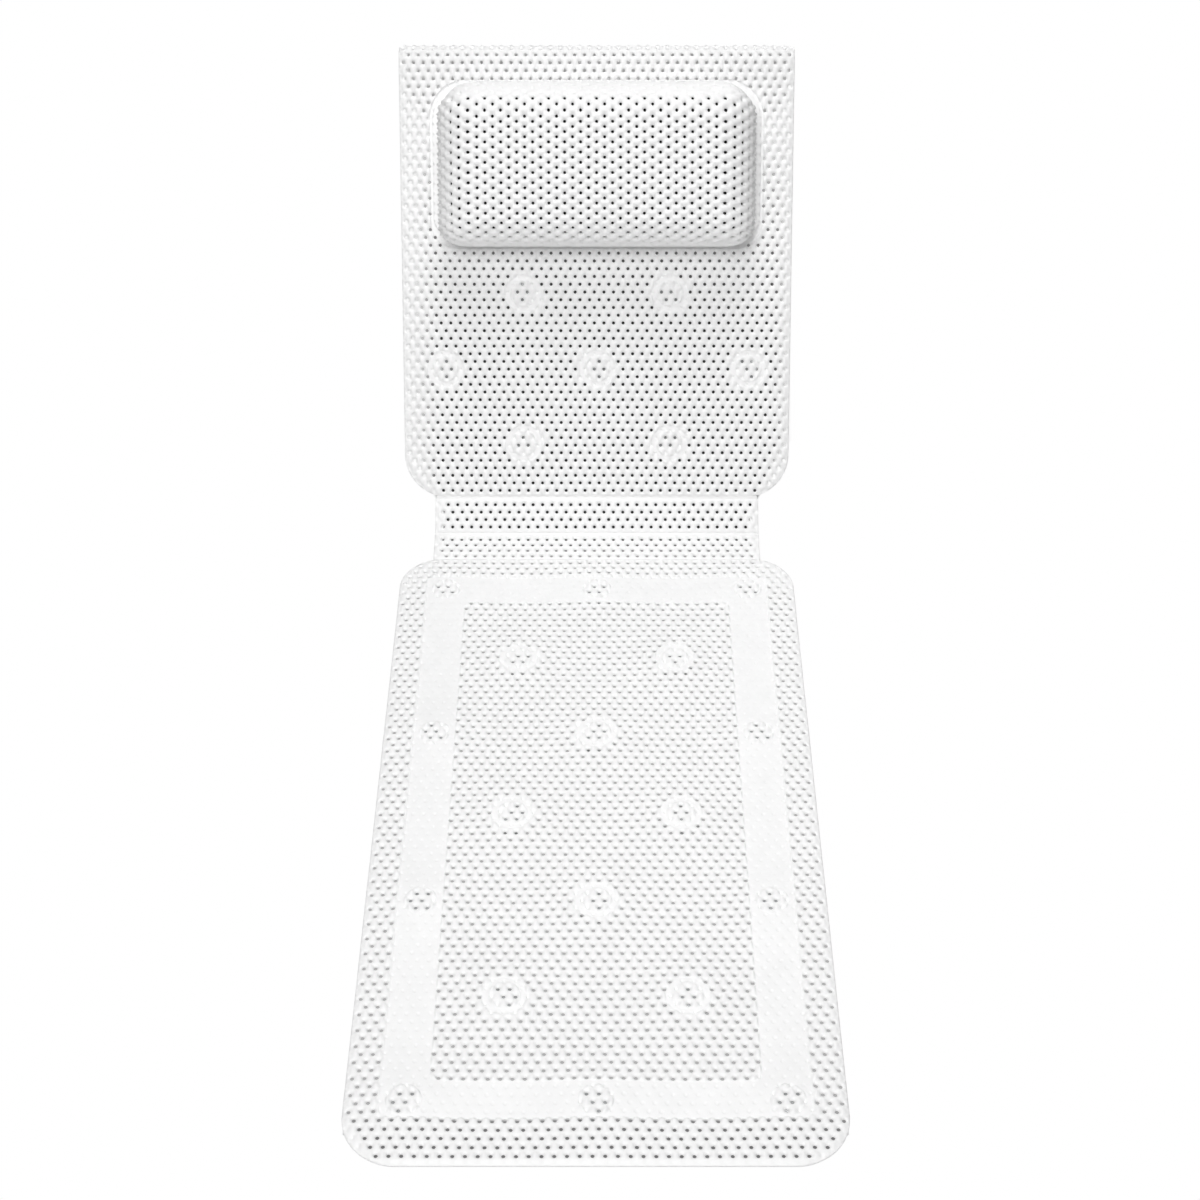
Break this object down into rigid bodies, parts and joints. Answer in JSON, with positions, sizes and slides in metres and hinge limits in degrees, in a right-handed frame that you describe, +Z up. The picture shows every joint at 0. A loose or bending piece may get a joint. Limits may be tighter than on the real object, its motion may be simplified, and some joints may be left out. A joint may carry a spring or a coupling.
{
  "type": "full-body bath mat",
  "caption": "White perforated foam bath mat in one folding run: a seat sheet on suction cups, a creased strip, a reclining back with a padded head pillow, and a flap that hooks over the rim.",
  "frame": {"origin": "on the floor of the bath, under the middle of the whole mat as it lies in the bath", "axes": "+X across the mat, to the left of a bather who lies on it, +Y along the mat to the head end, +Z up from the floor of the bath"},
  "size_m": [0.36, 0.9898, 0.3761],
  "materials": {
    "mesh_foam": "matte",
    "clear_vinyl": "gloss",
    "soft_foam": "matte"
  },
  "bodies": {
    "seat": {"seat_mat": "mesh_foam", "seat_cup_01": "clear_vinyl", "seat_cup_02": "clear_vinyl", "seat_cup_03": "clear_vinyl", "seat_cup_04": "clear_vinyl", "seat_cup_05": "clear_vinyl", "seat_cup_06": "clear_vinyl", "seat_cup_07": "clear_vinyl", "seat_cup_08": "clear_vinyl", "seat_cup_09": "clear_vinyl", "seat_cup_10": "clear_vinyl", "seat_cup_11": "clear_vinyl", "seat_cup_12": "clear_vinyl", "seat_cup_13": "clear_vinyl", "seat_cup_14": "clear_vinyl", "seat_cup_15": "clear_vinyl", "seat_cup_16": "clear_vinyl", "seat_cup_17": "clear_vinyl", "seat_cup_18": "clear_vinyl"},
    "lower_leaf": {"strip_lower_leaf": "mesh_foam"},
    "upper_leaf": {"strip_upper_leaf": "mesh_foam"},
    "back": {"back_panel": "mesh_foam", "back_cup_01": "clear_vinyl", "back_cup_02": "clear_vinyl", "back_cup_03": "clear_vinyl", "back_cup_04": "clear_vinyl", "back_cup_05": "clear_vinyl", "back_cup_06": "clear_vinyl", "back_cup_07": "clear_vinyl", "pillow_cover": "mesh_foam", "pillow_core": "soft_foam"},
    "flap": {"rim_flap": "mesh_foam"}
  },
  "joints": [
    {"name": "seam_fold", "type": "hinge", "parent": "seat", "child": "lower_leaf", "pos_m": [0, 0.14911, 0.0025], "axis": [1, 0, 0], "range_deg": [-6, 20]},
    {"name": "crease_fold", "type": "hinge", "parent": "lower_leaf", "child": "upper_leaf", "pos_m": [0, 0.18193, 0.00595], "axis": [1, 0, 0], "range_deg": [-34, 40]},
    {"name": "back_fold", "type": "hinge", "parent": "upper_leaf", "child": "back", "pos_m": [0, 0.20874, 0.02845], "axis": [1, 0, 0], "range_deg": [-18, 30]},
    {"name": "rim_fold", "type": "hinge", "parent": "back", "child": "flap", "pos_m": [0, 0.43131, 0.3733], "axis": [1, 0, 0], "range_deg": [-28, 62]}
  ]
}
